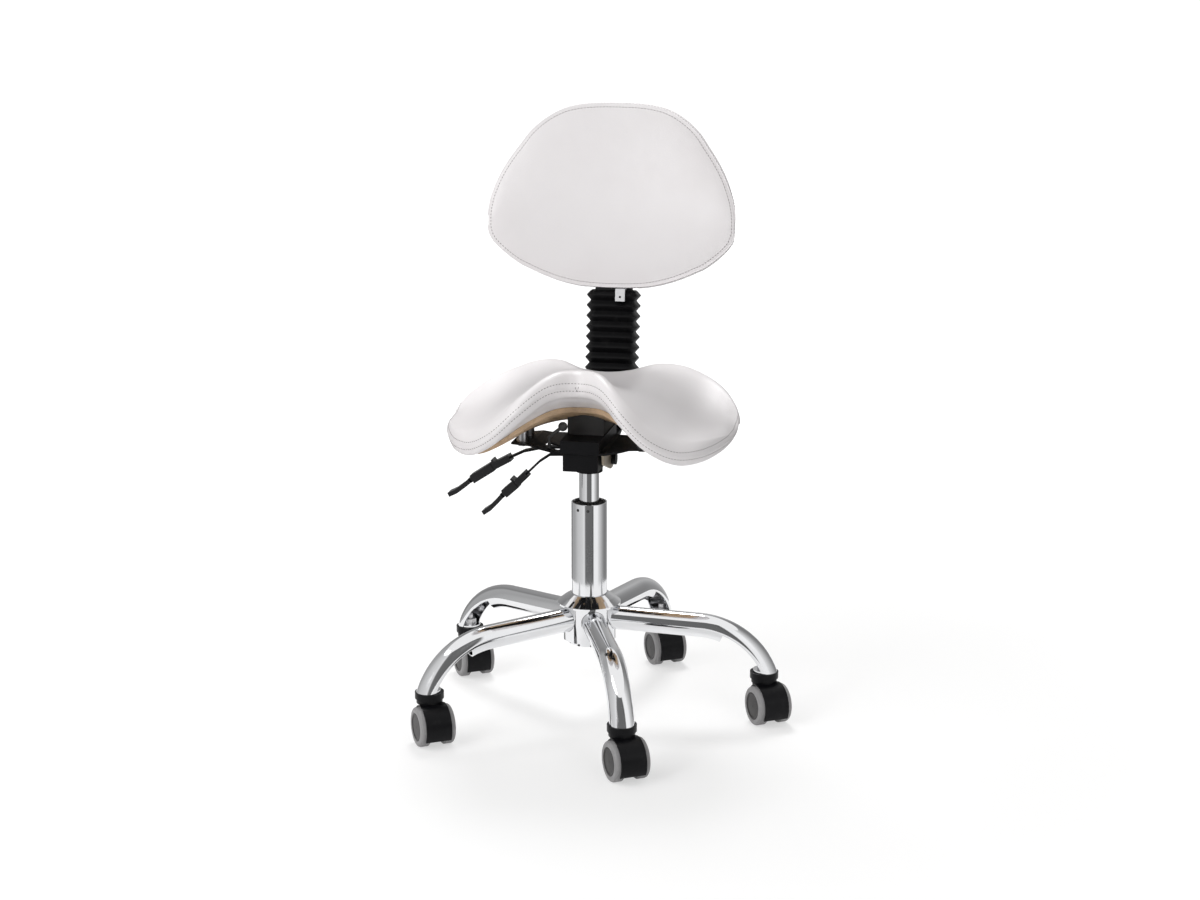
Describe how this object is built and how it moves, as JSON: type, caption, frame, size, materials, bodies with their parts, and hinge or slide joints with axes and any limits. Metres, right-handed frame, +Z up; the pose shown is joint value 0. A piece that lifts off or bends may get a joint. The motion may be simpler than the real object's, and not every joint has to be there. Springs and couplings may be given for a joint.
{
  "type": "saddle stool",
  "caption": "Saddle stool with a split-lobe padded seat, gas lift, two side levers and a backrest on a ribbed-sleeve bar, on a tubular star base with twin-wheel casters.",
  "frame": {"origin": "on the floor, on the axis of the gas lift column", "axes": "+Z up along the column; the sitter faces -Y; +X to the sitter's left"},
  "size_m": [0.5272, 0.5424, 0.8451],
  "materials": {
    "polished_steel": "polished chrome plate",
    "plated_steel": "zinc plate",
    "black_steel": "black powder coat",
    "bronze_steel": "yellow zinc plate",
    "black_plastic": "moulded black plastic",
    "black_rubber": "black rubber",
    "plywood": "bent beech plywood",
    "white_cover": "stitched white synthetic leather over foam",
    "hood_grey": "moulded dark grey plastic",
    "wheel_grey": "moulded dark grey plastic",
    "tyre_grey": "soft grey tread"
  },
  "bodies": {
    "base": {"hub": "polished_steel", "hub_collar": "polished_steel", "arm_1": "polished_steel", "arm_2": "polished_steel", "arm_3": "polished_steel", "arm_4": "polished_steel", "arm_5": "polished_steel", "caster_stems": "plated_steel", "stem_nuts": "plated_steel", "column_tube": "polished_steel", "column_bush": "black_plastic", "thrust_bearing": "plated_steel"},
    "rod": {"piston_rod": "plated_steel", "retaining_clip": "plated_steel"},
    "lift": {"gas_cylinder": "polished_steel", "mech_housing": "black_steel", "tilt_pins": "black_steel", "back_pin": "plated_steel"},
    "valve": {"valve_pin": "plated_steel"},
    "height_handle": {"height_lever": "plated_steel", "height_grip": "black_plastic"},
    "tilt_handle": {"tilt_lever": "plated_steel", "tilt_grip": "black_plastic"},
    "seat": {"seat_plate": "black_steel", "tilt_bracket": "bronze_steel", "release_rod": "black_plastic", "spacer_block": "black_plastic", "seat_bolts": "plated_steel", "seat_shell": "plywood", "seat_cushion": "white_cover"},
    "back_arm": {"back_bar": "black_steel", "bellows": "black_rubber"},
    "back_pad": {"back_slider": "black_plastic", "back_cushion": "white_cover", "back_tab": "plated_steel"},
    "caster_1": {"caster_hood_1": "hood_grey"},
    "wheel_1_left": {"wheel_1_left": "wheel_grey", "tyre_1_left": "tyre_grey"},
    "wheel_1_right": {"wheel_1_right": "wheel_grey", "tyre_1_right": "tyre_grey"},
    "caster_2": {"caster_hood_2": "hood_grey"},
    "wheel_2_left": {"wheel_2_left": "wheel_grey", "tyre_2_left": "tyre_grey"},
    "wheel_2_right": {"wheel_2_right": "wheel_grey", "tyre_2_right": "tyre_grey"},
    "caster_3": {"caster_hood_3": "hood_grey"},
    "wheel_3_left": {"wheel_3_left": "wheel_grey", "tyre_3_left": "tyre_grey"},
    "wheel_3_right": {"wheel_3_right": "wheel_grey", "tyre_3_right": "tyre_grey"},
    "caster_4": {"caster_hood_4": "hood_grey"},
    "wheel_4_left": {"wheel_4_left": "wheel_grey", "tyre_4_left": "tyre_grey"},
    "wheel_4_right": {"wheel_4_right": "wheel_grey", "tyre_4_right": "tyre_grey"},
    "caster_5": {"caster_hood_5": "hood_grey"},
    "wheel_5_left": {"wheel_5_left": "wheel_grey", "tyre_5_left": "tyre_grey"},
    "wheel_5_right": {"wheel_5_right": "wheel_grey", "tyre_5_right": "tyre_grey"}
  },
  "joints": [
    {"name": "seat_swivel", "type": "hinge", "parent": "base", "child": "rod", "pos_m": [0, 0, 0.111], "axis": [0, 0, 1], "continuous": true},
    {"name": "seat_lift", "type": "slide", "parent": "rod", "child": "lift", "axis": [0, 0, 1], "range_m": [-0.02, 0.1]},
    {"name": "valve_press", "type": "slide", "parent": "lift", "child": "valve", "axis": [0, 0, 1], "range_m": [-0.0026, 0.0004]},
    {"name": "height_lever_swing", "type": "hinge", "parent": "lift", "child": "height_handle", "pos_m": [-0.019, 0, 0.3865], "axis": [0, 1, 0], "range_deg": [-1, 7], "stiffness_Nm_per_rad": 4, "springref_deg": 0.86},
    {"name": "tilt_lever_swing", "type": "hinge", "parent": "lift", "child": "tilt_handle", "pos_m": [-0.019, -0.04, 0.3865], "axis": [0, 1, 0], "range_deg": [-1, 7], "stiffness_Nm_per_rad": 4, "springref_deg": 0.57},
    {"name": "seat_tilt", "type": "hinge", "parent": "lift", "child": "seat", "pos_m": [0, 0.01, 0.371], "axis": [1, 0, 0], "range_deg": [-1.5, 8]},
    {"name": "back_recline", "type": "hinge", "parent": "lift", "child": "back_arm", "pos_m": [0, 0.041, 0.381], "axis": [-1, 0, 0], "range_deg": [-1, 14]},
    {"name": "back_height", "type": "slide", "parent": "back_arm", "child": "back_pad", "axis": [0, 0.1357, 0.9907], "range_m": [-0.025, 0.035], "deforming": ["bellows"]},
    {"name": "caster_swivel_1", "type": "hinge", "parent": "base", "child": "caster_1", "pos_m": [0.09199, -0.23117, 0.0717], "axis": [0, 0, 1], "continuous": true},
    {"name": "wheel_spin_1_left", "type": "hinge", "parent": "caster_1", "child": "wheel_1_left", "pos_m": [0.10018, -0.24373, 0.0275], "axis": [0.8377, 0.5461, 0], "continuous": true},
    {"name": "wheel_spin_1_right", "type": "hinge", "parent": "caster_1", "child": "wheel_1_right", "pos_m": [0.10018, -0.24373, 0.0275], "axis": [0.8377, 0.5461, 0], "continuous": true},
    {"name": "caster_swivel_2", "type": "hinge", "parent": "base", "child": "caster_2", "pos_m": [0.24828, 0.01606, 0.0717], "axis": [0, 0, 1], "continuous": true},
    {"name": "wheel_spin_2_left", "type": "hinge", "parent": "caster_2", "child": "wheel_2_left", "pos_m": [0.25647, 0.00349, 0.0275], "axis": [0.8377, 0.5461, 0], "continuous": true},
    {"name": "wheel_spin_2_right", "type": "hinge", "parent": "caster_2", "child": "wheel_2_right", "pos_m": [0.25647, 0.00349, 0.0275], "axis": [0.8377, 0.5461, 0], "continuous": true},
    {"name": "caster_swivel_3", "type": "hinge", "parent": "base", "child": "caster_3", "pos_m": [0.06145, 0.24109, 0.0717], "axis": [0, 0, 1], "continuous": true},
    {"name": "wheel_spin_3_left", "type": "hinge", "parent": "caster_3", "child": "wheel_3_left", "pos_m": [0.06964, 0.22853, 0.0275], "axis": [0.8377, 0.5461, 0], "continuous": true},
    {"name": "wheel_spin_3_right", "type": "hinge", "parent": "caster_3", "child": "wheel_3_right", "pos_m": [0.06964, 0.22853, 0.0275], "axis": [0.8377, 0.5461, 0], "continuous": true},
    {"name": "caster_swivel_4", "type": "hinge", "parent": "base", "child": "caster_4", "pos_m": [-0.2103, 0.13295, 0.0717], "axis": [0, 0, 1], "continuous": true},
    {"name": "wheel_spin_4_left", "type": "hinge", "parent": "caster_4", "child": "wheel_4_left", "pos_m": [-0.20211, 0.12038, 0.0275], "axis": [0.8377, 0.5461, 0], "continuous": true},
    {"name": "wheel_spin_4_right", "type": "hinge", "parent": "caster_4", "child": "wheel_4_right", "pos_m": [-0.20211, 0.12038, 0.0275], "axis": [0.8377, 0.5461, 0], "continuous": true},
    {"name": "caster_swivel_5", "type": "hinge", "parent": "base", "child": "caster_5", "pos_m": [-0.19143, -0.15893, 0.0717], "axis": [0, 0, 1], "continuous": true},
    {"name": "wheel_spin_5_left", "type": "hinge", "parent": "caster_5", "child": "wheel_5_left", "pos_m": [-0.18324, -0.17149, 0.0275], "axis": [0.8377, 0.5461, 0], "continuous": true},
    {"name": "wheel_spin_5_right", "type": "hinge", "parent": "caster_5", "child": "wheel_5_right", "pos_m": [-0.18324, -0.17149, 0.0275], "axis": [0.8377, 0.5461, 0], "continuous": true}
  ],
  "couplings": [
    {"joint": "valve_press", "follows": "height_lever_swing", "m_per_rad": -0.019}
  ]
}
